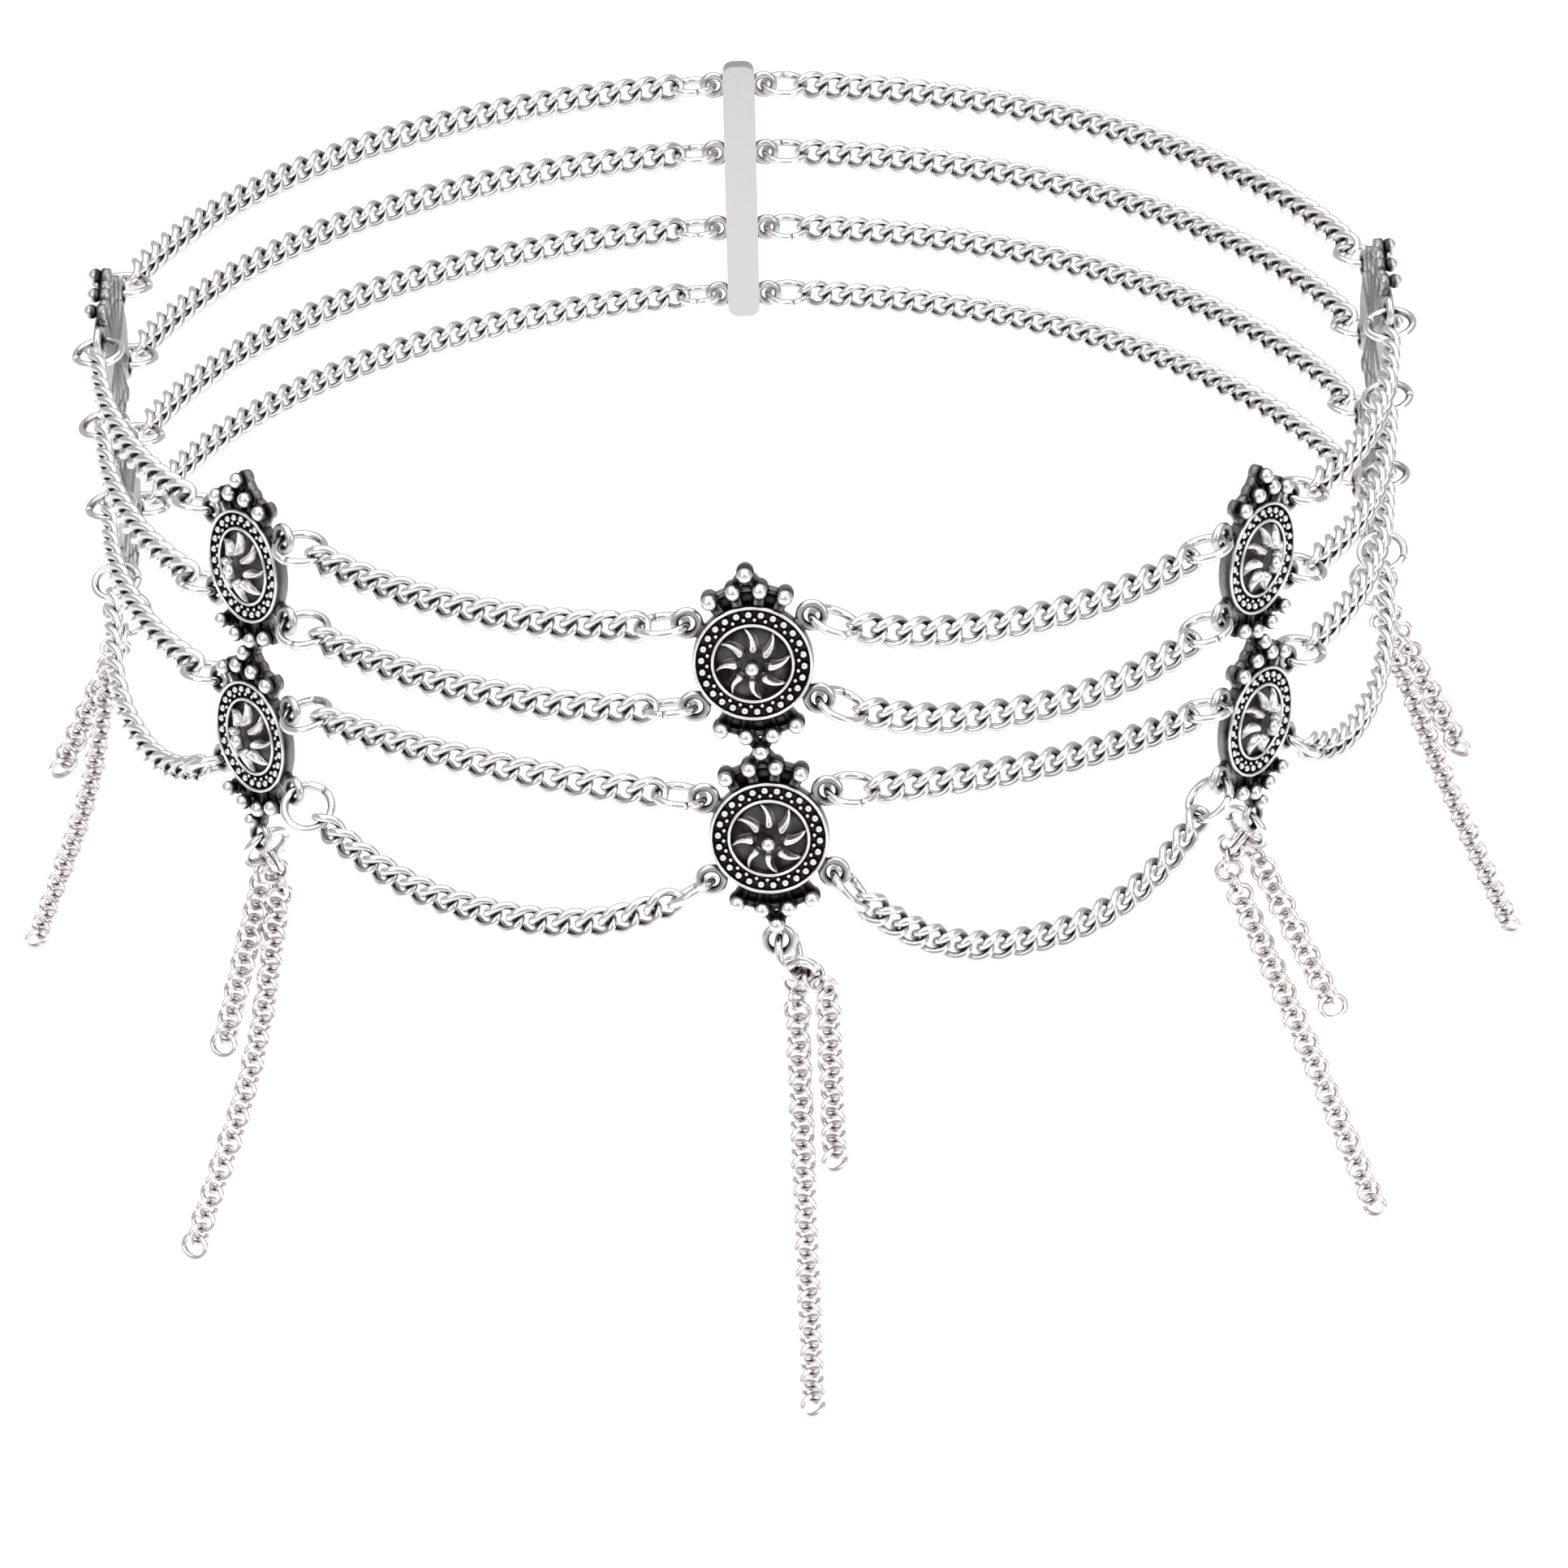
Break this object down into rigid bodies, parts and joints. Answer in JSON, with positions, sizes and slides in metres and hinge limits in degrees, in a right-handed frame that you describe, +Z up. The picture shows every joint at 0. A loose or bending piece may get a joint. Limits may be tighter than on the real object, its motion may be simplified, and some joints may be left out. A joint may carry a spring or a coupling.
{
  "type": "four-strand chain choker with double medallions and chain tassels",
  "caption": "Choker of curb-chain strands joined by pairs of round granulated medallions, each with a folded chain tassel, closed by a bar clasp.",
  "frame": {"origin": "centre of the neck loop, on the neck's axis, level with the middle of the medallions", "axes": "+Z up along the neck, front at -Y, +X to the right seen from the front"},
  "size_m": [0.1463, 0.1264, 0.0779],
  "materials": {
    "medallion": "cast silver, blackened in the recesses and polished on the high points",
    "jump_ring": "polished silver wire",
    "strand_chain": "polished silver curb chain",
    "tassel_chain": "polished fine silver chain",
    "clasp": "plain silver bar"
  },
  "bodies": {
    "root": {"medallion_side_left": "medallion", "jump_rings_side_left": "jump_ring", "tassel_side_left": "tassel_chain", "medallion_left": "medallion", "jump_rings_left": "jump_ring", "tassel_left": "tassel_chain", "medallion_center": "medallion", "jump_rings_center": "jump_ring", "tassel_center": "tassel_chain", "medallion_right": "medallion", "jump_rings_right": "jump_ring", "tassel_right": "tassel_chain", "medallion_side_right": "medallion", "jump_rings_side_right": "jump_ring", "tassel_side_right": "tassel_chain", "strand_1_side_left": "strand_chain", "strand_2_side_left": "strand_chain", "strand_3_side_left": "strand_chain", "strand_4_side_left": "strand_chain", "strand_1_front_left": "strand_chain", "strand_2_front_left": "strand_chain", "strand_3_front_left": "strand_chain", "strand_4_front_left": "strand_chain", "strand_1_front_right": "strand_chain", "strand_2_front_right": "strand_chain", "strand_3_front_right": "strand_chain", "strand_4_front_right": "strand_chain", "strand_1_side_right": "strand_chain", "strand_2_side_right": "strand_chain", "strand_3_side_right": "strand_chain", "strand_4_side_right": "strand_chain", "strand_1_back_right": "strand_chain", "strand_2_back_right": "strand_chain", "strand_3_back_right": "strand_chain", "strand_4_back_right": "strand_chain", "strand_1_back_left": "strand_chain", "strand_2_back_left": "strand_chain", "strand_3_back_left": "strand_chain", "strand_4_back_left": "strand_chain", "clasp_bar": "clasp", "jump_rings_clasp": "jump_ring"}
  },
  "joints": []
}
